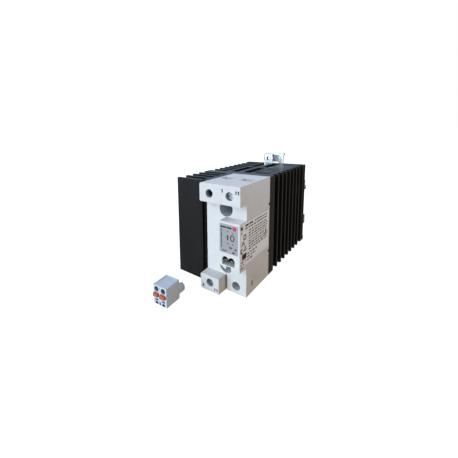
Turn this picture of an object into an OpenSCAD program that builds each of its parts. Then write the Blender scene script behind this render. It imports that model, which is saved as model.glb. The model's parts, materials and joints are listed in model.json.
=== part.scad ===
// Solid state relay: a moulded one-phase module on an extruded aluminium heatsink,
// with a sprung clip for a 35 mm rail and a separate two-pole control plug.
// Millimetres. The object stands on z = 0 with its terminals facing -y.

/* [Module housing] */
// Width of the module
module_w = 36; // [35:0.5:38]
// Height of the module
module_h = 90; // [89:0.5:94]
// Depth of the body in front of the heatsink
body_d = 42; // [41:0.5:46]
// How far the upper terminal block stands out from the body
upper_out = 10; // [9:0.5:12]
// Height of the upper terminal block
upper_h = 15; // [14.5:0.5:15]
// How far the display block and the lower terminal block stand out
lower_out = 10.5; // [9.5:0.5:12]
// Width of the display block
display_w = 17.4; // [17:0.2:17.6]
// Height of the underside of the display block
display_z0 = 25; // [24:0.5:25]
// Height of the top of the display block
display_z1 = 62.5; // [60:0.5:66]
// Width of the lower terminal block
lower_w = 17.6; // [17:0.2:18]
// Height of the lower terminal block
lower_h = 13.5; // [13:0.5:14]
// Wall thickness of the housing
wall = 1.6; // [1.2:0.1:2]

/* [Module details] */
// Radius of the two wells over the mounting screws
well_r = 5.9; // [5.4:0.1:6]
// Distance between the two mounting screws, a common relay spacing
mount_pitch = 47.6; // [47:0.1:48]
// Radius of the round holes over the terminal screws
access_r = 3.3; // [3.2:0.1:3.5]
// Width of a wire entry
entry_w = 10.4; // [9:0.2:10.8]
// Depth of a wire entry, front to back
entry_d = 9.5; // [8:0.5:10]
// Pitch of the two control pins
pin_pitch = 5.08; // [5:0.02:5.1]

/* [Terminals] */
// Radius of the terminal screws (M5)
screw_r = 2.5; // [2.4:0.1:2.6]
// Thread pitch of the terminal screws
screw_pitch = 0.8; // [0.7:0.05:1]
// Clear gap of an open terminal cage behind its busbar
cage_gap = 11; // [9:0.5:11]

/* [Heatsink] */
// Overall width of the heatsink
sink_w = 69; // [66:0.5:72]
// Length of the extrusion, which is the height of the heatsink
sink_h = 89.5; // [88:0.5:90]
// Depth of the heatsink behind the module
sink_d = 100; // [100:0.5:102]
// How far the arm beside the module reaches forward
arm_reach = 41.5; // [40:0.5:41.5]
// Thickness of the base plate that carries the module
base_t = 11; // [10.5:0.5:11]
// Pitch of the fins
fin_pitch = 10; // [9.9:0.05:10]
// Thickness of a fin
fin_t = 2.8; // [2.4:0.1:3]

/* [Rail clip] */
// Width of the mounting rail
rail_w = 35; // [35:0.1:35.2]
// Thickness of the clip's sheet steel
sheet_t = 2; // [1.8:0.1:2]
// How far the latch slides down to let the rail go
latch_travel = 4; // [3:0.5:4]

/* [Control plug] */
// Width of the plug
plug_w = 13.2; // [12.8:0.1:14]
// Height of the plug
plug_h = 15.6; // [15.4:0.1:16]
// Depth of the plug body
plug_d = 15.6; // [15.4:0.1:17]
// Length of the nose that enters the socket
nose_l = 9; // [7:0.5:9.5]
// Turn of the loose plug about the vertical
plug_turn = 4.2; // [0:0.1:10]
// How far an orange lever stands out at rest
lever_out = 2; // [1.6:0.1:2.2]

/* [Hidden] */
$fn = 48;
eps = 0.01;

// The module's own frame has x = 0 at its left side, y = 0 at its back and z = 0 at its foot.
sink_x0 = module_w - sink_w;
clip_back = sink_d + sheet_t + 3.3;
plug_x = -9.9;
plug_y = -90.6;
plug_front = plug_y - sin(plug_turn) * plug_w / 2 - lever_out;
frame_x = -(sink_x0 + module_w) / 2;
frame_y = -(clip_back + plug_front) / 2;

mid_x = 18.2;
left_x = 9.2;
right_x = 27.2;
well_z0 = 20.9;
well_z1 = well_z0 + mount_pitch;
well_back = -6.7;
well_relief = 0.25;
line_z = 82.1;
load_z = 7.8;
spare_z = 6.5;
upper_face = -body_d - upper_out;
lower_face = -body_d - lower_out;
display_x0 = module_w - display_w;
display_face = lower_face;
entry_y0 = -28.2;
entry_y1 = entry_y0 + entry_d;
tube_wall = 1.2;
label_t = 0.15;

socket_x = 26.5;
socket_z0 = 28.2;
socket_w = 10.8;
lobe_r = 2.75;
lobe_z = 32.3;
socket_back = -41.8;
pin_z = 31.7;
pin_side = 1;

pad_t = 0.4;
plate_t = 3.1;
plate_x = [5, 31.4];
plate_z = [14, 76.2];
plate_front = -pad_t - plate_t;
substrate_t = 0.8;
chip_t = 0.4;
bar_t = 1.5;
bar_front = -30;
foot_back = plate_front - substrate_t;
cage_back_wall = 1.6;
cage_front = 4;
cage_w = 10;
cage_h = 7.6;
board_y = [-37.2, -35.6];
led_x = 32.5;
led_z = 42.4;

latch_front = sink_d + sheet_t + 0.2;
lip_front = sink_d + sheet_t + 1.4;
rail_z0 = sink_h / 2 - rail_w / 2;
rail_z1 = rail_z0 + rail_w;
clip_x = [sink_x0, module_w];
spring_x = [-22, 25];
spring_z = [5.7, 18.7];
coil_r = 1.2;
coil_wire = 0.22;
coil_turns = 6;
clip_screws = [[-13.2, 6.8], [11.2, 6.8], [-9.5, 79], [7.5, 79]];
guide_z = [9.8, 14.5];

// ---- Helpers ----

module in_frame() translate([frame_x, frame_y, 0]) children();

module in_plug() in_frame() translate([plug_x, plug_y, 0]) rotate([0, 0, plug_turn]) children();

// A box between two corners, given as a low and a high value on each axis.
module box(x, y, z) {
    translate([x[0], y[0], z[0]])
        cube([x[1] - x[0], y[1] - y[0], z[1] - z[0]]);
}

// A round bar or bore along y.
module rod_y(x, z, r, y) {
    translate([x, y[0], z])
        rotate([-90, 0, 0])
            cylinder(r = r, h = y[1] - y[0]);
}

// A round bar or bore along z.
module rod_z(x, y, r, z) {
    translate([x, y, z[0]])
        cylinder(r = r, h = z[1] - z[0]);
}

// An outline drawn in x and z, extruded along y.
module extrude_y(y) {
    translate([0, y[1], 0])
        rotate([90, 0, 0])
            linear_extrude(y[1] - y[0])
                children();
}

// An outline drawn in y and z, extruded along x.
module extrude_x(x) {
    translate([x[0], 0, 0])
        rotate([90, 0, 90])
            linear_extrude(x[1] - x[0])
                children();
}

module strip(x, y) {
    translate([x[0], y[0]])
        square([x[1] - x[0], y[1] - y[0]]);
}

// The two-lobed outline shared by the control socket and the nose of its plug.
module two_lobes(width, r, base_z, centre_z) {
    strip([-width / 2, width / 2], [base_z, centre_z]);
    for (side = [-1, 1])
        translate([side * (width / 2 - r), centre_z])
            circle(r = r);
}

// ---- Heatsink ----

core_x = [-13.5, 32.8];
arm_x = [-6, -1.8];
back_block_y = sink_d - 9;
first_fin = 18.8;
rear_fins = 7;
arm_fins = [-29.5, -19.3, -9.3];
port_x = 26;
port_y = [25, 80];
port_r = 1.6;

// Chambers run the full length of the extrusion between the core's webs.
module heatsink_chambers() {
    for (y = [[14, 51], [56, 91.5]]) {
        strip([-10.5, -3], y);
        strip([2.5, 10.5], y);
    }
    strip([14.5, 29], [15, 19.3]);
}

module heatsink_outline() {
    difference() {
        union() {
            strip([sink_x0, module_w], [0, base_t]);
            strip([sink_x0, module_w], [back_block_y, sink_d]);
            strip(core_x, [0, sink_d]);
            strip([sink_x0, -5.4], [-arm_reach, -arm_reach + 3.2]);
            strip(arm_x, [-arm_reach + 3, eps]);
            for (y = arm_fins)
                strip([sink_x0, arm_x[1]], [y, y + fin_t]);
            for (i = [0 : rear_fins - 1])
                strip([sink_x0, module_w], [first_fin + i * fin_pitch, first_fin + i * fin_pitch + fin_t]);
        }
        heatsink_chambers();
        strip([33, module_w + eps], [94, 97]);
    }
}

module heatsink() {
    color([0.13, 0.13, 0.14]) in_frame()
        difference() {
            linear_extrude(sink_h)
                heatsink_outline();
            for (z = [well_z0, well_z1])
                rod_y(mid_x, z, 2, [-eps, 12]);
            for (y = port_y)
                rod_z(port_x, y, port_r, [-eps, sink_h + eps]);
            for (p = clip_screws)
                rod_y(p[0], p[1], 1.55, [92.8, sink_d + eps]);
            // Room for the lug of the earth wire in front of the earth tab.
            box([-12.5, -2.3], [back_block_y - eps, sink_d + eps], [sink_h - 4, sink_h + eps]);
        }
}

// ---- Power section ----

module screw_clearances(r, y) {
    for (z = [well_z0, well_z1])
        rod_y(mid_x, z, r, y);
}

module thermal_pad() {
    color([0.75, 0.76, 0.78]) in_frame()
        difference() {
            box(plate_x, [-pad_t, 0], plate_z);
            screw_clearances(2.4, [-1, 1]);
        }
}

module base_plate() {
    color([0.72, 0.68, 0.62]) in_frame()
        difference() {
            box(plate_x, [plate_front, -pad_t], plate_z);
            screw_clearances(2.3, [plate_front - 1, 1]);
        }
}

module ceramic_substrate() {
    color([0.93, 0.92, 0.88]) in_frame()
        box([7, 29.4], [foot_back, plate_front], [31, 59]);
}

module thyristor_chips() {
    color([0.35, 0.36, 0.4]) in_frame()
        for (x = [9.5, 19.5])
            box([x, x + 7], [foot_back - chip_t, foot_back], [41, 48]);
}

module chip_straps() {
    color([0.8, 0.5, 0.3]) in_frame()
        for (x = [9.5, 19.5])
            box([x + 1, x + 6], [foot_back - chip_t - 0.6, foot_back - chip_t], [42, 47]);
}

// A busbar is a tongue in the cage, a riser clear of the well, a shelf and a foot.
module busbar(tongue_x, tongue_z, riser_x, riser_z, shelf_z, foot_x, foot_z) {
    box(tongue_x, [bar_front, bar_front + bar_t], tongue_z);
    box(riser_x, [bar_front, bar_front + bar_t], riser_z);
    box(riser_x, [bar_front, foot_back], shelf_z);
    box(foot_x, [foot_back - bar_t, foot_back], foot_z);
}

module line_busbar() {
    color([0.8, 0.5, 0.3]) in_frame()
        busbar([right_x - 3.6, right_x + 3.6], [76, 87], [26, 30.5], [57, 76 + eps],
               [57, 58.5], [22, 29.2], [52, 58.5]);
}

module load_busbar() {
    color([0.8, 0.5, 0.3]) in_frame()
        busbar([left_x - 3.6, left_x + 3.6], [3, 13.2], [5.6, 10.2], [13.2 - eps, 33],
               [31.5, 33], [7.2, 14], [31.5, 38]);
}

// A cage rides on its screw: its back wall pulls the wire against the busbar.
module terminal_cage(x, z) {
    back = bar_front + bar_t + cage_gap;
    front = bar_front - 8;
    difference() {
        box([x - cage_w / 2, x + cage_w / 2], [front, back + cage_back_wall],
            [z - cage_h / 2, z + cage_h / 2]);
        box([x - cage_w / 2 + 1.1, x + cage_w / 2 - 1.1], [front + cage_front, back],
            [z - cage_h, z + cage_h]);
        rod_y(x, z, screw_r + 0.06, [front - 1, front + cage_front + 1]);
    }
}

module line_clamp() {
    color([0.72, 0.74, 0.77]) in_frame()
        terminal_cage(right_x, line_z);
}

module load_clamp() {
    color([0.72, 0.74, 0.77]) in_frame()
        terminal_cage(left_x, load_z);
}

// A cross recess, cut as two crossed bars.
module cross_recess(x, z, y, reach, bar) {
    box([x - reach, x + reach], y, [z - bar / 2, z + bar / 2]);
    box([x - bar / 2, x + bar / 2], y, [z - reach, z + reach]);
}

module terminal_screw(x, z, face) {
    head_front = face + 2.8;
    difference() {
        union() {
            rod_y(x, z, 2.95, [head_front, head_front + 3.1]);
            rod_y(x, z, screw_r, [head_front + 3.1, bar_front - 0.2]);
        }
        cross_recess(x, z, [head_front - eps, head_front + 1.6], 2, 0.9);
    }
}

module line_screw() {
    color([0.78, 0.8, 0.83]) in_frame()
        terminal_screw(right_x, line_z, upper_face);
}

module load_screw() {
    color([0.78, 0.8, 0.83]) in_frame()
        terminal_screw(left_x, load_z, lower_face);
}

// ---- Control electronics ----

module pin_bars(side, y) {
    for (s = [-1, 1])
        box([socket_x + s * pin_pitch / 2 - side / 2, socket_x + s * pin_pitch / 2 + side / 2], y,
            [pin_z - side / 2, pin_z + side / 2]);
}

module control_board() {
    color([0.1, 0.38, 0.22]) in_frame()
        difference() {
            box([5, 34.2], board_y, [29.5, 60.5]);
            pin_bars(pin_side, [board_y[0] - 1, board_y[1] + 1]);
        }
}

module trigger_couplers() {
    color([0.93, 0.93, 0.9]) in_frame()
        for (z = [35, 46])
            box([12, 19.5], [board_y[1], board_y[1] + 3.5], [z, z + 6.5]);
}

module varistor() {
    color([0.15, 0.3, 0.6]) in_frame() {
        rod_y(27.5, 39.2, 6, [board_y[1] + 1.2, board_y[1] + 5.2]);
        for (s = [-1, 1])
            rod_y(27.5 + s * 3.75, 42.2, 0.4, [board_y[1], board_y[1] + 1.4]);
    }
}

module snubber_capacitor() {
    color([0.75, 0.68, 0.2]) in_frame()
        box([22, 33], [board_y[1], board_y[1] + 4.6], [46, 55]);
}

module snubber_resistor() {
    color([0.55, 0.62, 0.6]) in_frame()
        rod_z(8.5, board_y[1] + 1.4, 1.4, [34, 43]);
}

module status_led() {
    color([0.2, 0.75, 0.3]) in_frame()
        box([led_x - 1, led_x + 1], [board_y[0] - 1, board_y[0]], [led_z - 1, led_z + 1]);
}

module light_pipe() {
    color([0.75, 0.9, 0.75]) in_frame()
        rod_y(led_x, led_z, 1, [display_face - 0.1, board_y[0] - 1.2]);
}

module control_header() {
    color([0.25, 0.26, 0.27]) in_frame()
        difference() {
            box([socket_x - 5.3, socket_x + 5.3], [socket_back, socket_back + 2], [28.4, 34.4]);
            pin_bars(pin_side, [socket_back - 1, socket_back + 3]);
        }
}

module control_pins() {
    color([0.85, 0.83, 0.75]) in_frame()
        pin_bars(pin_side, [display_face + 1, board_y[1] + 1]);
}

// ---- Housing ----

notch_z = [23.5, 66.3];

module base_frame() {
    color([0.12, 0.12, 0.12]) in_frame() {
        difference() {
            box([wall + 0.2, module_w - wall - 0.2], [-2.4, -0.1], [wall + 0.2, module_h - wall - 0.2]);
            box([plate_x[0] - 0.3, plate_x[1] + 0.3], [-3, 1], [plate_z[0] - 0.3, plate_z[1] + 0.3]);
        }
        for (z = notch_z)
            for (x = [[0.7, wall + 0.3], [module_w - wall - 0.3, module_w - 0.7]])
                box(x, [-1.7, -0.1], [z - 0.8, z + 0.8]);
    }
}

// The housing's outer shape, drawn in by t for its cavity.
module cover_blocks(t) {
    y_back = t > 0 ? 1 : 0;
    join = -body_d + t + eps;
    box([t, module_w - t], [-body_d + t, y_back], [t, module_h - t]);
    box([t, module_w - t], [upper_face + t, join], [module_h - upper_h + t, module_h - t]);
    box([display_x0 + t, module_w - t], [display_face + t, join], [display_z0 + t, display_z1 - t]);
    box([t, lower_w - t], [lower_face + t, join], [t, lower_h - t]);
}

// Tubes and pockets that stand inside the walls.
module cover_bosses() {
    for (z = [well_z0, well_z1])
        rod_y(mid_x, z, well_r + tube_wall, [-body_d, well_back]);
    for (x = [left_x, right_x])
        rod_y(x, line_z, access_r + tube_wall, [upper_face, upper_face + 7.5]);
    rod_y(left_x, load_z, access_r + tube_wall, [lower_face, lower_face + 7.5]);
    rod_y(right_x, spare_z, access_r + tube_wall + 0.3, [-body_d, -body_d + 11]);
    rod_y(left_x, line_z, access_r + tube_wall, [upper_face, upper_face + 12]);
    box([socket_x - 6.8, socket_x + 6.8], [display_face, socket_back + 2.2],
        [display_z0, lobe_z + lobe_r + 1.4]);
    box([lower_w - 1.2, lower_w + 2.6], [-body_d, -body_d + 5], [0, lower_h + 1]);
    entry_chute(left_x, [module_h - 8, module_h]);
    entry_chute(right_x, [module_h - 2.4, module_h]);
    entry_chute(left_x, [0, 2.4]);
    entry_chute(right_x, [0, 8]);
}

module entry_chute(x, z) {
    side = entry_w / 2 + tube_wall;
    box([x - side, x + side], [entry_y0 - tube_wall, entry_y1 + tube_wall], z);
}

module entry_cut(x, z) {
    box([x - entry_w / 2, x + entry_w / 2], [entry_y0, entry_y1], z);
}

module cover_openings() {
    for (z = [well_z0, well_z1])
        rod_y(mid_x, z, well_r, [-body_d - eps, well_back + 1]);
    rod_y(mid_x, well_z0, well_r + well_relief, [display_face - 1, -body_d]);
    // Terminal screws: a guide for the head with a shoulder behind it.
    rod_y(right_x, line_z, access_r, [upper_face - 1, upper_face + 6]);
    rod_y(right_x, line_z, screw_r + 0.15, [upper_face + 5, upper_face + 8]);
    rod_y(left_x, load_z, access_r, [lower_face - 1, lower_face + 6]);
    rod_y(left_x, load_z, screw_r + 0.15, [lower_face + 5, lower_face + 8]);
    // Blind guides of the two unused places.
    rod_y(left_x, line_z, access_r, [upper_face - 1, upper_face + 11]);
    rod_y(right_x, spare_z, access_r + 0.3, [-body_d - 1, -body_d + 10]);
    entry_cut(right_x, [module_h - 3, module_h + 1]);
    entry_cut(left_x, [module_h - 7, module_h + 1]);
    entry_cut(left_x, [-1, 3]);
    entry_cut(right_x, [-1, 7]);
    extrude_y([display_face - 1, socket_back])
        translate([socket_x, 0])
            two_lobes(socket_w, lobe_r, socket_z0, lobe_z);
    box([socket_x - 5.4, socket_x + 5.4], [socket_back - eps, socket_back + 3], [28.3, 34.5]);
    box([24.4, 28.7], [display_face - 1, display_face + 5], [display_z0 - 1, 27.6]);
    rod_y(led_x, led_z, 1.1, [display_face - 1, display_face + wall + 1]);
    // A narrow relief beside the lower terminal block, and a moulded mark on the side.
    box([lower_w, lower_w + 1.3], [-body_d - 1, -body_d + 3.6], [-1, lower_h]);
    box([module_w - 0.5, module_w + 1], [-32.5, -31.7], [5.7, 10.1]);
    for (z = notch_z)
        for (x = [[-1, wall + eps], [module_w - wall - eps, module_w + 1]])
            box(x, [-2, 1], [z - 1.1, z + 1.1]);
}

module housing_cover() {
    color([0.86, 0.88, 0.9]) in_frame()
        difference() {
            union() {
                difference() {
                    cover_blocks(0);
                    cover_blocks(wall);
                }
                cover_bosses();
            }
            cover_openings();
        }
}

module front_label() {
    color([0.68, 0.7, 0.74]) in_frame()
        difference() {
            box([display_x0 + 0.3, module_w - 1.4], [display_face - label_t, display_face], [38.1, 60.8]);
            rod_y(led_x, led_z, 1.2, [display_face - 1, display_face + 1]);
        }
}

module rating_label() {
    color([0.8, 0.76, 0.7]) in_frame()
        box([module_w, module_w + label_t], [display_face + 0.8, -1.5], [28.4, display_z1 - 1.2]);
}

module module_screws() {
    color([0.75, 0.77, 0.8]) in_frame()
        for (z = [well_z0, well_z1])
            difference() {
                union() {
                    rod_y(mid_x, z, 4.1, [plate_front - 2.8, plate_front]);
                    rod_y(mid_x, z, 1.95, [plate_front, 10]);
                }
                cross_recess(mid_x, z, [plate_front - 3, plate_front - 1.2], 2.2, 1);
            }
}

// ---- Rail clip ----

// The clip's sheet carries the upper hook, the spring seats, the earth tab and a lipped tab.
module rail_plate_sheet() {
    difference() {
        union() {
            strip([-16, 14], [4, 72]);
            strip([-13, 11], [71, 84]);
            strip(clip_x, [62.8, 72]);
            strip(clip_x, [0.3, 4.5]);
            polygon([[-11, 83], [-6.4, 83], [-6.4, 86.8], [-1.8, 91], [-1.8, 100.6], [-12.9, 100.6],
                     [-12.9, 91], [-11, 87.5]]);
            strip([5.4, 10.6], [83, 100.6]);
        }
        for (p = clip_screws)
            translate(p)
                circle(r = 1.7);
        translate([-7.4, 94.5])
            circle(r = 2.1);
    }
}

module rail_plate() {
    color([0.8, 0.8, 0.76]) in_frame() {
        extrude_y([sink_d, sink_d + sheet_t])
            rail_plate_sheet();
        // Collar that gives the earth thread its length.
        difference() {
            rod_y(-7.4, 94.5, 3.5, [sink_d + sheet_t, sink_d + sheet_t + 2]);
            rod_y(-7.4, 94.5, 2.1, [sink_d + sheet_t - 1, sink_d + sheet_t + 3]);
        }
        // Lipped tab, and beside it a tongue that leans back from the lip.
        box([2.6, 11.4], [sink_d, sink_d + 5], [99.2, 101]);
        extrude_x([-2.6, 4.4])
            polygon([[sink_d + 2.2, 99.3], [sink_d + 3.8, 99.3], [sink_d + 5, 90.5], [sink_d + 3.6, 90.5]]);
        // Upper hook over the rail's top edge.
        extrude_x(clip_x) {
            strip([sink_d + sheet_t - eps, clip_back], [rail_z1 + 0.5, rail_z1 + 2.5]);
            strip([lip_front, clip_back], [rail_z1 - 2.4, rail_z1 + 2.5]);
        }
        for (x = spring_x)
            box([x - 3, x + 3], [sink_d + sheet_t - eps, clip_back], [3.5, 5.4]);
        for (s = [-1, 1])
            guide(s);
    }
}

// Folded guides hold the latch's stem against the sheet.
module guide(s) {
    near = -1 + s * 8.3;
    far = near + s * 1.6;
    tip = near - s * 2;
    box([min(near, far), max(near, far)], [sink_d + sheet_t - eps, sink_d + sheet_t + 3.2], guide_z);
    box([min(tip, far), max(tip, far)], [sink_d + sheet_t + 2.1, sink_d + sheet_t + 3.2], guide_z);
}

module rail_plate_screws() {
    color([0.75, 0.77, 0.8]) in_frame()
        for (p = clip_screws)
            difference() {
                union() {
                    rod_y(p[0], p[1], 1.5, [93.5, sink_d + sheet_t]);
                    rod_y(p[0], p[1], 2.7, [sink_d + sheet_t, sink_d + sheet_t + 1.6]);
                }
                cross_recess(p[0], p[1], [sink_d + sheet_t + 0.7, sink_d + sheet_t + 2], 1.5, 0.7);
            }
}

module rail_latch() {
    color([0.8, 0.8, 0.76]) in_frame()
        difference() {
            union() {
                box(clip_x, [latch_front, latch_front + 1.6], [19, rail_z0 - 0.3]);
                box([-9, 7], [latch_front, latch_front + 1.6], [12.2, 19.1]);
                box([-5.2, 3.2], [latch_front, latch_front + 1.6], [5.2, 12.3]);
                extrude_x(clip_x) {
                    strip([latch_front, clip_back], [19, 21]);
                    strip([lip_front, clip_back], [19, rail_z0 + 2.3]);
                }
            }
            // Slot for the tip of a screwdriver.
            box([-3.5, 1.5], [latch_front - 1, latch_front + 2], [6.8, 8.8]);
        }
}

// A compression spring: rings of points along a helix, joined into one closed skin.
module coil(r, wire, z, turns, sides = 6, per_turn = 12) {
    rings = turns * per_turn;
    points = [
        for (i = [0 : rings])
            for (k = [0 : sides - 1])
                let (turn = 360 * i / per_turn, side = 360 * k / sides)
                    [(r + wire * cos(side)) * cos(turn), (r + wire * cos(side)) * sin(turn),
                     z[0] + (z[1] - z[0]) * i / rings + wire * sin(side)]
    ];
    skin = [
        for (i = [0 : rings - 1])
            for (k = [0 : sides - 1])
                let (a = i * sides + k, b = i * sides + (k + 1) % sides)
                    for (triangle = [[a, b, b + sides], [a, b + sides, a + sides]])
                        triangle
    ];
    first_end = [for (k = [sides - 1 : -1 : 0]) k];
    last_end = [for (k = [0 : sides - 1]) rings * sides + k];
    polyhedron(points, concat(skin, [first_end, last_end]), convexity = 10);
}

module latch_springs() {
    color([0.7, 0.71, 0.74]) in_frame()
        for (x = spring_x)
            translate([x, sink_d + sheet_t + 1.75, 0])
                coil(coil_r, coil_wire, spring_z, coil_turns);
}

// ---- Control plug ----

wire_x = 3.3;
wire_z = 12.5;
wire_r = 2.15;
lever_z = [7, 9.7];
lever_w = 4.6;
lever_gap = 0.15;
nose_z0 = 1;
chamber_y = [9.2, 14.2];
contact_z = nose_z0 + pin_z - socket_z0;
spring_foot = 3.05;

module plug_housing() {
    color([0.72, 0.76, 0.82]) in_plug()
        difference() {
            union() {
                box([-plug_w / 2, plug_w / 2], [0, plug_d], [0, plug_h]);
                extrude_y([plug_d - eps, plug_d + nose_l])
                    two_lobes(10.3, 2.6, nose_z0 + 1, nose_z0 + 3.9);
            }
            for (s = [-1, 1]) {
                rod_y(s * wire_x, wire_z, wire_r, [-1, chamber_y[0] + eps]);
                box([s * wire_x - lever_w / 2 - lever_gap, s * wire_x + lever_w / 2 + lever_gap],
                    [-1, chamber_y[0] + eps], [lever_z[0] - lever_gap, lever_z[1] + lever_gap]);
                box([s * wire_x - 2.4, s * wire_x + 2.4], chamber_y, [3, plug_h - 1.3]);
                box([s * pin_pitch / 2 - 0.9, s * pin_pitch / 2 + 0.9],
                    [chamber_y[1] - 1, plug_d + nose_l + 1], [contact_z - 0.9, contact_z + 0.9]);
                // Coding slot under each lever, and a grip notch at each side's front edge.
                box([s * wire_x - 1.5, s * wire_x + 1.5], [-1, 1.2], [3.5, 4.2]);
                box([s * plug_w / 2 - 0.3, s * plug_w / 2 + 0.3], [-0.5, 1.8], [6.9, 9.4]);
            }
            // Three pockets along the foot, and the test point between the wire holes.
            for (p = [[-wire_x, 1], [0, 0.7], [wire_x, 1]])
                box([p[0] - p[1], p[0] + p[1]], [-1, 1.6], [0.6, 2.2]);
            rod_y(0, 14.2, 0.5, [-1, 1]);
            // Sunken panel on the top.
            box([-plug_w / 2 + 1.6, plug_w / 2 - 1.6], [2.4, plug_d - 1.8], [plug_h - 0.25, plug_h + 1]);
        }
}

module plug_lever(s) {
    box([s * wire_x - lever_w / 2, s * wire_x + lever_w / 2], [-lever_out, 6.5], lever_z);
    box([s * wire_x - 1, s * wire_x + 1], [6.5 - eps, 7.8], [lever_z[0] + 0.6, lever_z[1] - 0.6]);
}

module plug_lever_left() {
    color([0.88, 0.42, 0.24]) in_plug()
        plug_lever(-1);
}

module plug_lever_right() {
    color([0.88, 0.42, 0.24]) in_plug()
        plug_lever(1);
}

module plug_clamp_springs() {
    color([0.75, 0.76, 0.78]) in_plug()
        for (s = [-1, 1])
            extrude_x([s * wire_x - 1.9, s * wire_x + 1.9]) {
                strip([9.5, 13.8], [spring_foot, spring_foot + 0.5]);
                strip([9.5, 10], [spring_foot, 11.6]);
                strip([9.5, 12.6], [11.1, 11.6]);
            }
}

module plug_contacts() {
    color([0.85, 0.8, 0.6]) in_plug()
        for (s = [-1, 1])
            difference() {
                box([s * pin_pitch / 2 - 0.8, s * pin_pitch / 2 + 0.8], [11, plug_d + nose_l - 0.6],
                    [contact_z - 0.8, contact_z + 0.8]);
                box([s * pin_pitch / 2 - 0.54, s * pin_pitch / 2 + 0.54], [12, plug_d + nose_l + 1],
                    [contact_z - 0.54, contact_z + 0.54]);
            }
}

heatsink();
thermal_pad();
base_plate();
ceramic_substrate();
thyristor_chips();
chip_straps();
line_busbar();
load_busbar();
line_clamp();
load_clamp();
line_screw();
load_screw();
control_board();
trigger_couplers();
varistor();
snubber_capacitor();
snubber_resistor();
status_led();
light_pipe();
control_header();
control_pins();
base_frame();
housing_cover();
front_label();
rating_label();
module_screws();
rail_plate();
rail_plate_screws();
rail_latch();
latch_springs();
plug_housing();
plug_lever_left();
plug_lever_right();
plug_clamp_springs();
plug_contacts();
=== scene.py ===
"""Solid state relay on a heatsink, with its loose control plug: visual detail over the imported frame."""
import json
import math
import random

import bmesh
import bpy
from mathutils import Matrix, Vector


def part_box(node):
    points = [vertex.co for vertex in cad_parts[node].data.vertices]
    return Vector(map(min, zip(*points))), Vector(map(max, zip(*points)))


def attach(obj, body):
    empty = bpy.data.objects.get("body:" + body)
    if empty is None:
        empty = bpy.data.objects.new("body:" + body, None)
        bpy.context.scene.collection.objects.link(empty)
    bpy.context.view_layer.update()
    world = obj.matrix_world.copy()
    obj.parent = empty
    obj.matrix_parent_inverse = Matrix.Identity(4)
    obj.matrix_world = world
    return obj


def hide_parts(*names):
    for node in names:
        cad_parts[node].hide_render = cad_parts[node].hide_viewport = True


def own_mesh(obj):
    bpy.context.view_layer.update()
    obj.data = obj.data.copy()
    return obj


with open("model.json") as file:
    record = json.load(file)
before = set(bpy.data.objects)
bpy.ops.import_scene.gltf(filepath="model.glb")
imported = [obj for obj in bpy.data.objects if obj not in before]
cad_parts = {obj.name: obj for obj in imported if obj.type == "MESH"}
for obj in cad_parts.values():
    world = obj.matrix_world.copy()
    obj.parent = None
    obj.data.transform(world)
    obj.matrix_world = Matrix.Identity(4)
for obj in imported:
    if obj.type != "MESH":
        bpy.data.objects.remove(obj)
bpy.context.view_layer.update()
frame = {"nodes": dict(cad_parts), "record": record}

MM = 0.001

# ---------------------------------------------------------------- places
# Module coordinates, in millimetres: x from the housing's left side, y from its back, z from its foot.
housing_low, housing_high = (Vector(corner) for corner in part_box("housing_cover"))
MODULE = Vector((housing_low.x, housing_high.y, 0))
HEIGHT = (housing_high.z - housing_low.z) / MM
# Front faces as y: the upper block, the body, the lower block, the loose plug and the rail plate's sheet.
UPPER_FACE = -52.0
BODY_FACE = -42.0
LOWER_FACE = -52.5
PLUG_FACE = -90.6
SHEET_FACE = 100
# The housing's right side as x, and the middles of its left and right terminal places.
SIDE_FACE = 36.0
LEFT, RIGHT = 9.2, 27.2
# Middles as (x, z): the two wells, and the hole in the earth tab.
WELLS = ((18.2, 20.9), (18.2, 68.5))
EARTH_HOLE = (-7.4, 94.5)
# Thicknesses: a label in CAD, its foil here, and the print on it.
LABEL = 0.15
FOIL = 0.10
INK_HEIGHT = 0.04
# A housing face counts as sunken from this far in.
SUNK = 0.05
# The loose plug stands a little turned, in degrees.
PLUG_TURN = 4.2

# The camera, as fitted to the photo's edges: place in module millimetres, yaw, pitch and roll in degrees.
CAMERA_PLACE = (121.8, -210.9, 128.7)
CAMERA_TURN = (41.75, 8.32, -1.72)
CAMERA_LENS = 20.12
CAMERA_SHIFT = (0.1066, -0.1269)


def at(x, y, z):
    """A point given in module millimetres, in the frame's metres."""
    return MODULE + Vector((x, y, z)) * MM


# ---------------------------------------------------------------- camera

def add_camera():
    """The photo's view of the relay."""
    yaw, pitch, roll = (math.radians(a) for a in CAMERA_TURN)
    back = Vector((math.sin(yaw) * math.cos(pitch), -math.cos(yaw) * math.cos(pitch), math.sin(pitch)))
    level = (-back).cross(Vector((0, 0, 1))).normalized()
    upright = level.cross(-back)
    right = level * math.cos(roll) + upright * math.sin(roll)
    up = upright * math.cos(roll) - level * math.sin(roll)
    data = bpy.data.cameras.new("camera")
    data.lens = CAMERA_LENS
    data.shift_x, data.shift_y = CAMERA_SHIFT
    data.clip_start = 0.01
    data.clip_end = 50
    camera = bpy.data.objects.new("camera", data)
    bpy.context.scene.collection.objects.link(camera)
    axes = Matrix((right, up, back)).transposed().to_4x4()
    camera.matrix_world = Matrix.Translation(at(*CAMERA_PLACE)) @ axes
    bpy.context.scene.camera = camera


add_camera()


# ---------------------------------------------------------------- materials

# Grain of moulded plastic in millimetres, and the part of a noise's range that is spread over a finish.
PLASTIC_GRAIN = 0.35
NOISE_LOW, NOISE_HIGH = 0.3, 0.7


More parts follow.
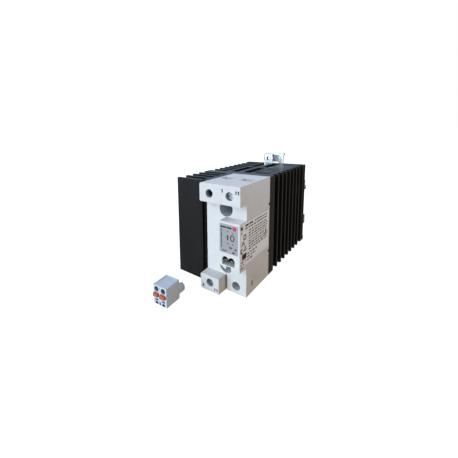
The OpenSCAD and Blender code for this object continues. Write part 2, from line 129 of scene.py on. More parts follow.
class Surface:
    """A procedural material: a Principled shader with noise behind its colour, roughness and bump."""

    def __init__(self, name, roughness=0.5, metallic=0.0, **inputs):
        self.material = bpy.data.materials.new(name)
        self.material.use_nodes = True
        self.nodes = self.material.node_tree.nodes
        self.links = self.material.node_tree.links
        self.shader = self.nodes["Principled BSDF"]
        self.shader.inputs["Roughness"].default_value = roughness
        self.shader.inputs["Metallic"].default_value = metallic
        for key, value in inputs.items():
            self.shader.inputs[key.replace("_", " ")].default_value = value
        self.place = self.nodes.new("ShaderNodeTexCoord").outputs["Object"]

    def noise(self, size, stretch=(1, 1, 1), detail=3.0):
        """Noise whose grains are about size millimetres, longer along an axis with a larger stretch."""
        mapping = self.nodes.new("ShaderNodeMapping")
        mapping.inputs["Scale"].default_value = [1 / s for s in stretch]
        texture = self.nodes.new("ShaderNodeTexNoise")
        texture.inputs["Scale"].default_value = 1 / (size * MM)
        texture.inputs["Detail"].default_value = detail
        self.links.new(self.place, mapping.inputs["Vector"])
        self.links.new(mapping.outputs["Vector"], texture.inputs["Vector"])
        return texture.outputs["Fac"]

    def colour(self, pattern, low, high, start=NOISE_LOW, end=NOISE_HIGH):
        """Colour from low to high as the pattern goes from start to end."""
        ramp = self.nodes.new("ShaderNodeValToRGB")
        ramp.color_ramp.elements[0].position = start
        ramp.color_ramp.elements[1].position = end
        ramp.color_ramp.elements[0].color = (*low, 1)
        ramp.color_ramp.elements[1].color = (*high, 1)
        self.links.new(pattern, ramp.inputs["Fac"])
        self.links.new(ramp.outputs["Color"], self.shader.inputs["Base Color"])
        return self

    def rough(self, pattern, low, high):
        """Roughness from low to high with the pattern."""
        spread = self.nodes.new("ShaderNodeMapRange")
        spread.inputs["From Min"].default_value = NOISE_LOW
        spread.inputs["From Max"].default_value = NOISE_HIGH
        spread.inputs["To Min"].default_value = low
        spread.inputs["To Max"].default_value = high
        self.links.new(pattern, spread.inputs["Value"])
        self.links.new(spread.outputs["Result"], self.shader.inputs["Roughness"])
        return self

    def bump(self, pattern, depth, strength):
        """Relief of about depth millimetres."""
        bump = self.nodes.new("ShaderNodeBump")
        bump.inputs["Strength"].default_value = strength
        bump.inputs["Distance"].default_value = depth * MM
        self.links.new(pattern, bump.inputs["Height"])
        self.links.new(bump.outputs["Normal"], self.shader.inputs["Normal"])
        return self


def shades(base, spread):
    """A darker and a lighter version of a colour."""
    return [c * (1 - spread) for c in base], [min(1, c * (1 + spread)) for c in base]


def moulded(name, base, roughness=0.5):
    """Moulded plastic: a fine eroded grain and a faint unevenness of colour."""
    s = Surface(name, roughness)
    grains = s.noise(PLASTIC_GRAIN, detail=2)
    s.colour(s.noise(9), *shades(base, 0.03))
    s.rough(grains, roughness - 0.06, roughness + 0.08)
    s.bump(grains, 0.02, 0.35)
    return s.material


def anodised():
    """Black anodised extrusion: drawn lines along z and dusty, slightly uneven gloss."""
    s = Surface("black_anodised", 0.45, 0.0, Specular_IOR_Level=0.22)
    lines = s.noise(0.5, (1, 1, 260), 2)
    s.colour(s.noise(7, (1, 1, 6)), (0.0062, 0.0058, 0.0058), (0.011, 0.0105, 0.0105))
    s.rough(lines, 0.36, 0.52)
    s.bump(lines, 0.012, 0.5)
    return s.material


def sunken(name, mouth, floor, front, depth, lean=0.0, level=0.0):
    """The plastic inside a hole, with painted shade: darker from its mouth at y = front to depth millimetres
    in.

    With a lean, each millimetre above the level counts as that much more depth."""
    s = Surface(name, 0.6)
    inwards = s.nodes.new("ShaderNodeVectorMath")
    inwards.operation = "DOT_PRODUCT"
    inwards.inputs[1].default_value = (0, 1, lean)
    s.links.new(s.place, inwards.inputs[0])
    mouth_at = at(0, front, level).dot(Vector((0, 1, lean)))
    along = s.nodes.new("ShaderNodeMapRange")
    along.inputs["From Min"].default_value = mouth_at
    along.inputs["From Max"].default_value = mouth_at + depth * MM
    s.links.new(inwards.outputs["Value"], along.inputs["Value"])
    s.colour(along.outputs["Result"], mouth, floor, 0, 1)
    s.bump(s.noise(PLASTIC_GRAIN), 0.02, 0.35)
    return s.material


def plated(name, base, roughness, metallic=0.8):
    """Bright zinc plating with cloudy patches and fine rolling marks."""
    s = Surface(name, roughness, metallic)
    s.colour(s.noise(4.5), *shades(base, 0.07))
    s.rough(s.noise(0.9, (3, 1, 1)), roughness - 0.08, roughness + 0.12)
    s.bump(s.noise(0.25), 0.006, 0.4)
    return s.material


def cast(name, base, roughness, metallic=0.0, **inputs):
    """A plain, slightly uneven finish, for inner pieces and print, and for the painted shade on edges and in
    the earth thread.
    """
    s = Surface(name, roughness, metallic, **inputs)
    pattern = s.noise(1.2)
    s.colour(pattern, *shades(base, 0.08))
    s.bump(pattern, 0.01, 0.4)
    return s.material


def foil(name, base, roughness, metallic):
    """Printed label foil: faint brushed lines across it."""
    s = Surface(name, roughness, metallic)
    lines = s.noise(0.35, (30, 30, 1), 2)
    s.colour(lines, *shades(base, 0.035))
    s.bump(lines, 0.004, 0.3)
    return s.material


HOUSING = moulded("housing_grey", (0.71, 0.71, 0.71))
# Painted shade: each hole and well below is tinted cool and darkens from its mouth inwards, where shade
# falls.
WELL_SHADE = sunken("housing_well_shade", (0.57, 0.62, 0.65), (0.42, 0.54, 0.60), BODY_FACE, 20)
DEEP_HOLE_SHADE = sunken("housing_deep_hole_shade", (0.66, 0.72, 0.78), (0.07, 0.085, 0.11), UPPER_FACE, 5)
SCREW_HOLE_SHADE = sunken("housing_screw_hole_shade", (0.55, 0.64, 0.74), (0.05, 0.06, 0.07), UPPER_FACE, 5)
LOWER_HOLE_SHADE = sunken("housing_lower_hole_shade", (0.42, 0.47, 0.50), (0.10, 0.12, 0.14), LOWER_FACE, 6)
SPARE_HOLE_SHADE = sunken("housing_spare_hole_shade", (0.62, 0.63, 0.64), (0.52, 0.55, 0.57), BODY_FACE, 6)
# Painted shade: near black in the groove beside the lower block and in the side's small recess.
GROOVE_SHADE = moulded("housing_groove_shade", (0.02, 0.02, 0.018), 0.6)
# Painted shade on the wire entries' walls, darker and cooler than the housing.
CHUTE_SHADE = moulded("housing_chute_shade", (0.62, 0.66, 0.66), 0.6)
# Painted shade in the control socket: near black deep in and towards its top edge.
SOCKET_SHADE = sunken("housing_socket_shade", (0.68, 0.72, 0.72), (0.004, 0.005, 0.006), LOWER_FACE, 6.5, 1.5, 30.3)
# Painted shade: a dark colour for the earth thread.
THREAD_SHADE = cast("thread_shade", (0.10, 0.13, 0.16), 0.6)
# Painted shade: a dark colour for the rail plate's rounded edges and the earth tab's rims.
EDGE_SHADE = cast("zinc_edge_shade", (0.10, 0.115, 0.125), 0.6)
ANODISED = anodised()
ZINC = plated("zinc_plate", (0.66, 0.69, 0.70), 0.34)
SCREW_ZINC = plated("zinc_screw", (0.66, 0.71, 0.77), 0.22, metallic=1.0)
SPRING = plated("spring_steel", (0.55, 0.56, 0.58), 0.25)
COPPER = cast("copper", (0.60, 0.45, 0.37), 0.45, 1.0)
TIN = cast("tinned", (0.78, 0.76, 0.70), 0.3, 1.0)
PLATE = cast("plate_metal", (0.72, 0.70, 0.66), 0.35, 1.0)
PAD = cast("thermal_pad", (0.52, 0.53, 0.56), 0.7)
CERAMIC = cast("ceramic", (0.88, 0.87, 0.83), 0.5)
SILICON = cast("silicon", (0.16, 0.17, 0.22), 0.15, 0.6)
BOARD = cast("board", (0.03, 0.22, 0.10), 0.35)
COUPLER = moulded("coupler_white", (0.82, 0.82, 0.78))
VARISTOR = cast("varistor_blue", (0.06, 0.16, 0.45), 0.3)
CAPACITOR = cast("capacitor_yellow", (0.72, 0.55, 0.08), 0.3)
RESISTOR = cast("resistor_body", (0.35, 0.45, 0.42), 0.35)
LED = cast("led_green", (0.06, 0.5, 0.12), 0.2)
CLEAR = cast("clear_plastic", (0.17, 0.21, 0.22), 0.15, Transmission_Weight=0.15)
HEADER = moulded("header_black", (0.012, 0.012, 0.013))
BLACK = moulded("black_plastic", (0.02, 0.02, 0.021))
SILVER_FOIL = foil("label_silver", (0.37, 0.38, 0.39), 0.42, 0.15)
WHITE_FOIL = foil("label_white", (0.96, 0.96, 0.99), 0.45, 0.0)
INK = cast("ink", (0.012, 0.012, 0.014), 0.55)
SOFT_INK = cast("soft_ink", (0.02, 0.017, 0.016), 0.55)
RED_INK = cast("red_ink", (0.60, 0.04, 0.09), 0.5)
PLUG = moulded("plug_grey", (0.56, 0.63, 0.73), 0.42)
# Painted shade: the plug's wire holes darken inwards and its pockets' floors and roofs are near black.
WIRE_HOLE_SHADE = sunken("plug_wire_hole_shade", (0.42, 0.46, 0.52), (0.012, 0.014, 0.018), PLUG_FACE, 5)
POCKET_SHADE = moulded("plug_pocket_shade", (0.02, 0.025, 0.03), 0.6)
ORANGE = moulded("lever_orange", (0.52, 0.12, 0.045), 0.42)


# ---------------------------------------------------------------- mesh tools

def body_with(node):
    """The name of the CAD body that a node belongs to."""
    bodies = frame["record"]["behaviour"]["bodies"]
    return next(name for name, nodes in bodies.items() if node in nodes)


def add_piece(name, bm, material, node, replaces=False):
    """Turns a bmesh into a piece that rides with a CAD node."""
    mesh = bpy.data.meshes.new(name)
    bm.to_mesh(mesh)
    bm.free()
    mesh.materials.append(material)
    piece = bpy.data.objects.new(name, mesh)
    bpy.context.scene.collection.objects.link(piece)
    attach(piece, body_with(node))
    if replaces:
        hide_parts(node)
    return piece


def cleaned(node):
    """A bmesh of a CAD node, welded and with flat faces whole again."""
    bm = bmesh.new()
    bm.from_mesh(frame["nodes"][node].data)
    bmesh.ops.remove_doubles(bm, verts=bm.verts, dist=0.002 * MM)
    bmesh.ops.dissolve_limit(bm, angle_limit=math.radians(0.4), verts=bm.verts, edges=bm.edges)
    for face in bm.faces:
        face.smooth = True
    for edge in bm.edges:
        edge.smooth = edge.calc_face_angle(0) < math.radians(30)
    return bm


def round_edges(piece, width):
    """Rounds the piece's sharp edges by width millimetres."""
    bevel = piece.modifiers.new("edges", "BEVEL")
    bevel.width = width * MM
    bevel.segments = 2
    bevel.limit_method = "ANGLE"
    bevel.angle_limit = math.radians(40)
    bevel.miter_outer = "MITER_ARC"
    bevel.harden_normals = True


def dress(node, material, edge=0.0):
    """Replaces a CAD node by a copy of its own shape with rounded edges and a material."""
    piece = add_piece(node + "_shape", cleaned(node), material, node, replaces=True)
    if edge:
        round_edges(piece, edge)
    return piece


def edge_in(piece, material):
    """Gives the rounded edges of a dressed piece their own material."""
    piece.data.materials.append(material)
    piece.modifiers["edges"].material = len(piece.data.materials) - 1


def paint(node, material):
    """Gives a CAD node that stays as it is its material."""
    obj = frame["nodes"][node]
    if not obj.material_slots:
        obj.data.materials.append(None)
    for slot in obj.material_slots:
        slot.material = material


def add_disc(bm, centre, radius, place):
    """A filled printed dot."""
    steps = 28
    turns = [2 * math.pi * i / steps for i in range(steps)]
    rim = [(centre[0] + radius * math.cos(t), centre[1] + radius * math.sin(t)) for t in turns]
    low, high = ([bm.verts.new(place(*p, h)) for p in rim] for h in (0, 1))
    bm.faces.new(low)
    bm.faces.new(high)
    for i in range(steps):
        bm.faces.new((low[i - 1], low[i], high[i], high[i - 1]))


def add_stroke(bm, path, width, place, closed=False):
    """A printed line along a 2D path; place turns (across, up, height) into a point."""
    rings = []
    for i, point in enumerate(path):
        before = path[i - 1] if closed or i else point
        after = path[(i + 1) % len(path)] if closed or i < len(path) - 1 else point
        along = (Vector(after) - Vector(before)).normalized()
        aside = Vector((-along.y, along.x)) * width / 2
        near, far = Vector(point) + aside, Vector(point) - aside
        rings.append([bm.verts.new(place(*p, h)) for p, h in ((near, 0), (near, 1), (far, 1), (far, 0))])
    for one, two in zip(rings, rings[1:] + rings[:1] * closed):
        for k in range(4):
            bm.faces.new((one[k], one[k - 1], two[k - 1], two[k]))
    if not closed:
        bm.faces.new(rings[0])
        bm.faces.new(rings[-1])


def arc(centre, radii, start, end, steps):
    """Points along a part of an ellipse, with angles in degrees."""
    turns = [math.radians(start + (end - start) * i / steps) for i in range(steps + 1)]
    return [(centre[0] + radii[0] * math.cos(t), centre[1] + radii[1] * math.sin(t)) for t in turns]


# ---------------------------------------------------------------- stage and light

def add_floor():
    """A white floor with a glow of its own, which takes shadows and throws no light on the relay."""
    bm = bmesh.new()
    bmesh.ops.create_circle(bm, cap_ends=True, radius=12, segments=64)
    mesh = bpy.data.meshes.new("floor")
    bm.to_mesh(mesh)
    bm.free()
    s = Surface("floor", 0.9, Emission_Color=(1, 1, 1, 1), Emission_Strength=0.72)
    s.colour(s.noise(900), (0.84, 0.84, 0.84), (0.88, 0.88, 0.88))
    mesh.materials.append(s.material)
    floor = bpy.data.objects.new("floor", mesh)
    floor.location.z = -0.02 * MM
    floor.visible_diffuse = False
    floor.visible_glossy = False
    floor.visible_shadow = False
    bpy.context.scene.collection.objects.link(floor)


def add_sky(sides):
    """Light from all sides, in soft lobes of their own colour, behind a white backdrop."""
    world = bpy.data.worlds.new("studio")
    bpy.context.scene.world = world
    world.use_nodes = True
    nodes, links = world.node_tree.nodes, world.node_tree.links
    direction = nodes.new("ShaderNodeTexCoord").outputs["Generated"]
    total = None
    for axis, sharpness, colour in sides:
        towards = nodes.new("ShaderNodeVectorMath")
        towards.operation = "DOT_PRODUCT"
        towards.inputs[1].default_value = Vector(axis).normalized()
        front = nodes.new("ShaderNodeMath")
        front.operation = "MAXIMUM"
        front.inputs[1].default_value = 0
        lobe = nodes.new("ShaderNodeMath")
        lobe.operation = "POWER"
        lobe.inputs[1].default_value = sharpness
        tint = nodes.new("ShaderNodeVectorMath")
        tint.operation = "SCALE"
        tint.inputs[0].default_value = colour
        links.new(direction, towards.inputs[0])
        links.new(towards.outputs["Value"], front.inputs[0])
        links.new(front.outputs["Value"], lobe.inputs[0])
        links.new(lobe.outputs["Value"], tint.inputs["Scale"])
        if total is None:
            total = tint.outputs["Vector"]
            continue
        both = nodes.new("ShaderNodeVectorMath")
        links.new(total, both.inputs[0])
        links.new(tint.outputs["Vector"], both.inputs[1])
        total = both.outputs["Vector"]
    links.new(total, nodes["Background"].inputs["Color"])
    backdrop = nodes.new("ShaderNodeBackground")
    choice = nodes.new("ShaderNodeMixShader")
    links.new(nodes.new("ShaderNodeLightPath").outputs["Is Camera Ray"], choice.inputs["Fac"])
    links.new(nodes["Background"].outputs["Background"], choice.inputs[1])
    links.new(backdrop.outputs["Background"], choice.inputs[2])
    links.new(choice.outputs["Shader"], nodes["World Output"].inputs["Surface"])
    backdrop.inputs["Color"].default_value = (1, 1, 1, 1)


def add_light(name, place, target, size, power, colour):
    """A square lamp: place, target and size in metres, power in watts."""
    data = bpy.data.lights.new(name, "AREA")
    data.size = size
    data.energy = power
    data.color = colour
    light = bpy.data.objects.new(name, data)
    bpy.context.scene.collection.objects.link(light)
    light.location = place
    light.rotation_euler = (Vector(target) - Vector(place)).to_track_quat("-Z", "Y").to_euler()


add_floor()
add_sky([
    ((0, -1, 0), 2, (0.41, 0.445, 0.50)),
    ((0, 1, 0), 2, (0.26, 0.25, 0.24)),
    ((1, 0, 0), 2, (0.37, 0.21, 0.0)),
    ((-1, 0, 0), 2, (0.45, 0.50, 0.55)),
    ((0, 0, 1), 2, (0.45, 0.48, 0.50)),
    ((0, 0, -1), 2, (0.30, 0.23, 0.17)),
    ((-0.66, 0.74, 0.16), 6, (0.40, 0.60, 1.0)),
])
add_light("window", (-0.42, -1.42, 0.50), (0, 0, 0.04), 1.1, 19.8, (0.75, 0.87, 1.0))
add_light("low", (0.02, -0.20, 0.012), (0.0, -0.06, 0.015), 0.05, 0.025, (0.84, 0.94, 1.0))
add_light("side", (0.20, 0.02, 0.20), (0.035, -0.02, 0.08), 0.12, 0.205, (0.61, 0.77, 1.06))


# ---------------------------------------------------------------- relay

def local(point):
    """A point of the frame in module millimetres."""
    return (point - MODULE) / MM


def round_left_corners(bm):
    """Rounds the housing's front-to-back edges along its left side."""
    edges = []
    for edge in bm.edges:
        one, two = (local(v.co) for v in edge.verts)
        if max(abs(one.x), abs(two.x)) < 0.01 and abs(one.z - two.z) < 0.01 and abs(one.y - two.y) > 2:
            if edge.is_convex and edge.calc_face_angle(0) > math.radians(80):
                edges.append(edge)
    bmesh.ops.bevel(bm, geom=edges, offset=1.2 * MM, segments=5, profile=0.5, affect="EDGES")


# Round recesses: centre x, centre z, radius, front plane and material of painted shade.
HOLES = [(LEFT, 82.1, 3.4, UPPER_FACE, DEEP_HOLE_SHADE), (RIGHT, 82.1, 3.4, UPPER_FACE, SCREW_HOLE_SHADE),
         (LEFT, 7.8, 3.4, LOWER_FACE, LOWER_HOLE_SHADE), (RIGHT, 6.5, 3.7, BODY_FACE, SPARE_HOLE_SHADE)]
HOLES += [(x, z, 6.0, BODY_FACE, WELL_SHADE) for x, z in WELLS]


def recess_shade_at(x, y, z):
    """The painted-shade material of a sunken place in the housing, or None on the open surface."""
    for cx, cz, radius, front, material in HOLES:
        if math.hypot(x - cx, z - cz) < radius and y > front + SUNK:
            return material
    # Painted shade: the groove beside the lower block and the side's small recess are near black.
    beside_lower_block = 18.4 < x < 20.2 and z < 22.1 and BODY_FACE + SUNK < y < BODY_FACE + 3.7
    side_mark = SIDE_FACE - 0.6 < x < SIDE_FACE - SUNK and -32.6 < y < -31.6 and 5.6 < z < 10.2
    if beside_lower_block or side_mark:
        return GROOVE_SHADE
    # Painted shade on the wire entries' walls.
    wire_entry = -28.3 < y < -18.6 and min(abs(x - LEFT), abs(x - RIGHT)) < 5.3 and SUNK < z < HEIGHT - SUNK
    if wire_entry:
        return CHUTE_SHADE
    # Painted shade in the control socket, darkest deep in and towards its top edge.
    socket = abs(x - 26.5) < 5.42 and 28.1 < z < 37.5 and LOWER_FACE + 0.3 < y < BODY_FACE + 4
    if socket:
        return SOCKET_SHADE
    return None


def add_housing():
    """The housing, with painted shade of its own in each recess."""
    bm = cleaned("housing_cover")
    round_left_corners(bm)
    piece = add_piece("housing_shell", bm, HOUSING, "housing_cover", replaces=True)
    recesses = list(dict.fromkeys(hole[-1] for hole in HOLES)) + [GROOVE_SHADE, CHUTE_SHADE, SOCKET_SHADE]
    for material in recesses:
        piece.data.materials.append(material)
    for face in piece.data.polygons:
        material = recess_shade_at(*local(face.center))
        if material:
            face.material_index = 1 + recesses.index(material)
    round_edges(piece, 0.3)


def add_plug_housing():
    """The plug's housing: wire holes and pockets with painted shade of their own, the pockets a little
    enlarged.
    """
    hole_aside, hole_level, hole_radius, hole_depth = 3.3, 12.5, 2.2, 9.3
    pocket_depth, pocket_top, pocket_growth = 1.7, 4.3, 0.3
    moved_levels = {0.6: 0.4, 2.2: 2.5, 3.5: 3.3, 4.2: 4.5}
    piece = dress("plug_housing", PLUG, 0.3)
    piece.data.materials.append(POCKET_SHADE)
    piece.data.materials.append(WIRE_HOLE_SHADE)
    turn = math.radians(PLUG_TURN)
    inward = Vector((-math.sin(turn), math.cos(turn), 0))
    across = Vector((math.cos(turn), math.sin(turn), 0))
    front = min(v.co @ inward for v in piece.data.vertices)
    sides = [v.co @ across for v in piece.data.vertices]
    middle = (min(sides) + max(sides)) / 2
    for face in piece.data.polygons:
        depth = (face.center @ inward - front) / MM
        aside = abs(face.center @ across - middle) / MM
        level = face.center.z / MM
        off_hole = math.hypot(aside - hole_aside, level - hole_level)
        in_wire_hole = off_hole < hole_radius and 0.1 < depth < hole_depth
        floor_or_roof = abs(face.normal.z) + abs(face.normal @ inward) > 0.5
        in_pocket = 0.1 < depth < pocket_depth and level < pocket_top and floor_or_roof
        # Painted shade: the wire holes darken inwards, and the pockets' floors and roofs are near black.
        if in_wire_hole:
            face.material_index = 2
        elif in_pocket:
            face.material_index = 1
    for vert in piece.data.vertices:
        depth = (vert.co @ inward - front) / MM
        aside = abs(vert.co @ across - middle) / MM
        level = vert.co.z / MM
        target = next((new for old, new in moved_levels.items() if abs(level - old) < 0.02), None)
        if target and depth < pocket_depth and aside < 5.2:
            vert.co.z = target * MM
            if level < 3 and aside > 1:
                side = math.copysign(1, vert.co @ across - middle)
                outwards = math.copysign(1, aside - hole_aside)
                vert.co += across * pocket_growth * side * outwards * MM


add_housing()
dress("heatsink", ANODISED, 0.25)
# Painted shade on the rail plate's rounded edges.
edge_in(dress("rail_plate", ZINC, 0.55), EDGE_SHADE)
dress("rail_latch", ZINC, 0.2)
dress("rail_plate_screws", SCREW_ZINC, 0.15)
dress("line_screw", SCREW_ZINC, 0.15)
dress("load_screw", SCREW_ZINC, 0.15)
dress("module_screws", SCREW_ZINC, 0.2)
dress("line_clamp", ZINC, 0.2)
dress("load_clamp", ZINC, 0.2)
dress("control_pins", TIN, 0.12)
dress("control_header", HEADER, 0.1)
dress("base_frame", BLACK, 0.15)
add_plug_housing()
dress("plug_lever_left", ORANGE, 0.25)
dress("plug_lever_right", ORANGE, 0.25)

for node, material in {
    "thermal_pad": PAD, "base_plate": PLATE, "ceramic_substrate": CERAMIC, "thyristor_chips": SILICON,
    "chip_straps": COPPER, "line_busbar": COPPER, "load_busbar": COPPER, "control_board": BOARD,
    "trigger_couplers": COUPLER, "varistor": VARISTOR, "snubber_capacitor": CAPACITOR,
    "snubber_resistor": RESISTOR, "status_led": LED, "light_pipe": CLEAR, "plug_clamp_springs": SPRING,
    "plug_contacts": TIN,
}.items():
    paint(node, material)


# ---------------------------------------------------------------- springs

def add_springs():
    """Two round-wire coils between the plate's flange and the latch, which pushes them flat."""
    low, high = (Vector(corner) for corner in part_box("latch_springs"))
    length = high.z - low.z
    wire, turns, steps, sides = 0.22 * MM, 6, 40, 10
    coil = (high.y - low.y) / 2 - wire
    middle = (low.y + high.y) / 2
    bm = bmesh.new()
    for centre in (low.x + coil + wire, high.x - coil - wire):
        rings = []
        for i in range(turns * steps + 1):
            turn = 2 * math.pi * i / steps
            height = low.z + wire + (length - 2 * wire) * i / (turns * steps)
            out = Vector((math.cos(turn), math.sin(turn), 0))
            spine = Vector((centre, middle, height)) + out * coil
            angles = [2 * math.pi * k / sides for k in range(sides)]
            rings.append([bm.verts.new(spine + (out * math.cos(a) + Vector((0, 0, 1)) * math.sin(a)) * wire)
                          for a in angles])
        for one, two in zip(rings, rings[1:]):
            for k in range(sides):
                bm.faces.new((one[k - 1], one[k], two[k], two[k - 1]))
        bm.faces.new(rings[0])
        bm.faces.new(rings[-1])
    bmesh.ops.recalc_face_normals(bm, faces=bm.faces)
    for face in bm.faces:
        face.smooth = True
    piece = add_piece("latch_coils", bm, SPRING, "latch_springs", replaces=True)
    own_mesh(piece)


add_springs()


# ---------------------------------------------------------------- labels and marks

def add_foil(node, material, axis, sign):
    """A label as a thin foil with rounded corners, a little thinner than its CAD solid."""
    bm = cleaned(node)
    close = 1e-6
    outer = sign * max(sign * v.co[axis] for v in bm.verts)
    corners = []
    ends = [[side(v.co[k] for v in bm.verts) for side in (min, max)] for k in range(3)]
    for edge in bm.edges:
        span = edge.verts[0].co - edge.verts[1].co
        along_thickness = abs(abs(span[axis]) - span.length) < close / 10
        place = edge.verts[0].co
        at_corner = all(min(abs(place[k] - e) for e in ends[k]) < close for k in range(3) if k != axis)
        if along_thickness and at_corner:
            corners.append(edge)
    bmesh.ops.bevel(bm, geom=corners, offset=0.7 * MM, segments=4, profile=0.5, affect="EDGES")
    for vert in bm.verts:
        if abs(vert.co[axis] - outer) < close:
            vert.co[axis] -= sign * (LABEL - FOIL) * MM
    return add_piece(node + "_foil", bm, material, node, replaces=True)


def on_front(x, z, height):
    return at(x, LOWER_FACE - FOIL - INK_HEIGHT * height, z)


def on_side(y, z, height):
    return at(SIDE_FACE + FOIL + INK_HEIGHT * height, y, z)


def on_upper(x, z, height):
    return at(x, UPPER_FACE - INK_HEIGHT * height, z)


def on_lower(x, z, height):
    return at(x, LOWER_FACE - INK_HEIGHT * height, z)


def add_print(name, material, node, draw):
    """A printed layer: draw fills a bmesh, which then rides with the node."""
    bm = bmesh.new()
    draw(bm)
    bmesh.ops.recalc_face_normals(bm, faces=bm.faces)
    return add_piece(name, bm, material, node)


def dashes(bm, start, end, level, height, place, draw, upright=False,
           lengths=(1.2, 4.5), gaps=(0.45, 0.8)):
    """A line of print as plain dashes of uneven length."""
    shortest = 0.8
    here = start
    while here < end - shortest:
        length = min(draw.uniform(*lengths), end - here)
        path = [(level, here), (level, here + length)] if upright else [(here, level), (here + length, level)]
        add_stroke(bm, path, height, place)
        here += length + draw.uniform(*gaps)


def draw_front_print(bm):
    """Two bars, a plain line and ring, and small dashes; none is a real mark."""
    for start, end in ((19.8, 24.6), (25.1, 29.3)):
        add_stroke(bm, [(start, 58.4), (end, 58.4)], 1.3, on_front)
    add_stroke(bm, [(26.0, 48.6), (26.0, 52.5)], 1.15, on_front)
    add_stroke(bm, arc((30.0, 50.8), (1.45, 2.25), 0, 350, 35), 0.75, on_front, closed=True)
    for x, z, length, height in ((25.5, 55.4, 0.9, 0.8), (29.8, 54.7, 0.9, 0.7), (25.7, 45.9, 1.0, 0.8),
                                 (29.7, 46.0, 0.9, 0.8), (27.2, 43.1, 2.6, 1.0), (21.3, 39.8, 1.5, 0.9),
                                 (23.2, 39.8, 1.7, 0.9), (29.9, 39.7, 2.3, 1.1)):
        add_stroke(bm, [(x, z), (x + length, z)], height, on_front)


def draw_front_column(bm):
    """Upright dashes along the front label's left side."""
    dashes(bm, 42.2, 56.6, 20.6, 0.75, on_front, random.Random(4), upright=True)


def draw_side_text(bm):
    """Lines of dashes; none of them says anything."""
    draw = random.Random(7)
    words = {"lengths": (1.8, 5.5), "gaps": (0.9, 1.6)}
    small = {"lengths": (1.5, 4.6), "gaps": (1.0, 1.7)}
    dashes(bm, -28.4, -4.6, 59.5, 1.1, on_side, draw, **words)
    dashes(bm, -44, -5, 57.1, 1.0, on_side, draw, **words)
    for level in (54.4, 52.25, 50.1, 47.95, 45.6, 43.45, 41.3, 39.15):
        dashes(bm, -38.5, draw.uniform(-6, -3), level, 0.95, on_side, draw, **small)
    for level, end in ((36.2, -24), (33.8, -27), (31.4, -31)):
        dashes(bm, -40.8, end, level, 0.95, on_side, draw, **small)
    for level, end in ((32.4, -43.5), (30.2, -44.5), (28.0, -46.5)):
        dashes(bm, -51.2, end, level, 0.85, on_side, draw, **small)


def draw_side_symbols(bm):
    """Plain shapes and bold bars; none is a real mark."""
    add_stroke(bm, [(-44.2, 59.5), (-38.8, 59.5)], 1.4, on_side)
    add_stroke(bm, [(-37.6, 59.5), (-31.6, 59.5)], 1.4, on_side)
    add_stroke(bm, [(-51.2, 58.8), (-48.2, 58.8)], 2.8, on_side)
    add_stroke(bm, [(-50.6, 55.2), (-49.0, 55.2)], 1.4, on_side)
    add_stroke(bm, [(-46.6, 49.4), (-43.4, 49.4), (-43.4, 52.6), (-46.6, 52.6)], 1.2, on_side, closed=True)
    add_stroke(bm, [(-49.6, 45.0), (-47.6, 48.2), (-45.6, 45.0)], 1.3, on_side)
    add_stroke(bm, arc((-49.4, 41.2), (1.4, 1.5), 60, 300, 16), 1.3, on_side)
    add_stroke(bm, [(-46.6, 40.6), (-44.6, 43.8), (-42.6, 40.6)], 1.3, on_side, closed=True)
    for k in range(4):
        add_stroke(bm, [(-48.3 + 1.7 * k, 33.9), (-48.3 + 1.7 * k, 38.3)], 1.6, on_side)
    add_stroke(bm, [(-9.6, 41.4), (-7.6, 44.6), (-5.6, 41.4)], 1.3, on_side)


def add_earth_thread():
    """Ridged rings in the earth tab's hole and collar, which stand in for its thread, dark with painted
    shade.
    """
    bm = bmesh.new()
    steps, pitch, length, outer, root, crest = 24, 0.8, 3.4, 2.13, 2.09, 1.99
    halves = int(length / pitch * 2)

    def ring(k, radius):
        y = SHEET_FACE + 0.05 + length * k / halves
        turns = [2 * math.pi * i / steps for i in range(steps)]
        rim = [(EARTH_HOLE[0] + radius * math.cos(t), EARTH_HOLE[1] + radius * math.sin(t)) for t in turns]
        return [bm.verts.new(at(x, y, z)) for x, z in rim]

    rows = [ring(k, crest if k % 2 else root) for k in range(halves + 1)]
    rows += [ring(k, outer) for k in (halves, 0)]
    for one, two in zip(rows, rows[1:] + rows[:1]):
        for i in range(steps):
            bm.faces.new((one[i - 1], one[i], two[i], two[i - 1]))
    bmesh.ops.recalc_face_normals(bm, faces=bm.faces)
    add_piece("earth_thread", bm, THREAD_SHADE, "rail_plate")


add_earth_thread()


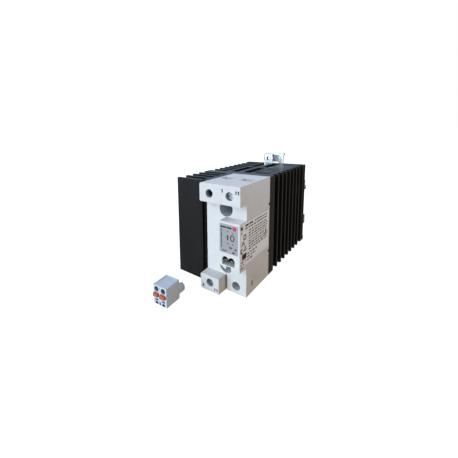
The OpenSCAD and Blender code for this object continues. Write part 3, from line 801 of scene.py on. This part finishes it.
def draw_mark(bm, place, x, z, kind, size=1.0):
    """A terminal number, 1 or 2, or a plain bar, as strokes."""
    if kind == 2:
        path = arc((x, z + 0.65 * size), (0.8 * size, 0.7 * size), 160, -40, 10)
        path += [(x - 0.85 * size, z - 1.2 * size), (x + 0.9 * size, z - 1.2 * size)]
    else:
        path = [(x, z + 1.3 * size), (x, z - 1.3 * size)]
        if kind == 1:
            path.insert(0, (x - 0.8 * size, z + 0.7 * size))
    add_stroke(bm, path, 0.9, place)


def draw_tab_edge_shade(bm):
    """Painted shade along the rim of the earth tab's front and of its hole."""
    def on_tab(x, z, height):
        return at(x, SHEET_FACE - INK_HEIGHT * height, z)

    add_stroke(bm, [(-12.6, 91.6), (-12.6, 100.3), (-2.2, 100.3)], 0.6, on_tab)
    add_stroke(bm, [(-2.1, 100.0), (-2.1, 91.6)], 0.5, on_tab)
    add_stroke(bm, arc(EARTH_HOLE, (2.3, 2.3), 0, 350, 35), 0.35, on_tab, closed=True)


def draw_housing_marks(bm):
    """The terminal marks, and a plain bar in the side's small recess."""
    draw_mark(bm, on_upper, 21.1, 85.6, 1)
    draw_mark(bm, on_upper, 32.6, 85.4, 0)
    draw_mark(bm, on_upper, 34.6, 85.4, 1)
    draw_mark(bm, on_lower, 2.6, 3.5, 2, 0.8)
    draw_mark(bm, on_lower, 14.0, 3.3, 0, 0.85)
    draw_mark(bm, on_lower, 16.1, 3.3, 1, 0.85)
    add_stroke(bm, [(-32.1, 6.0), (-32.1, 9.8)], 1.6, lambda y, z, h: at(SIDE_FACE + INK_HEIGHT * h, y, z))


add_foil("front_label", SILVER_FOIL, 1, -1)
add_foil("rating_label", WHITE_FOIL, 0, 1)
add_print("front_print", INK, "front_label", draw_front_print)
add_print("front_column", SOFT_INK, "front_label", draw_front_column)
add_print("front_dot", RED_INK, "front_label", lambda bm: add_disc(bm, (31.7, 58.3), 1.65, on_front))
add_print("rating_text", SOFT_INK, "rating_label", draw_side_text)
add_print("rating_symbols", INK, "rating_label", draw_side_symbols)
add_print("terminal_marks", INK, "housing_cover", draw_housing_marks)
# Painted shade on the earth tab's rims.
add_print("tab_edge_shade", EDGE_SHADE, "rail_plate", draw_tab_edge_shade)

view = bpy.context.scene.view_settings
view.view_transform = "Standard"
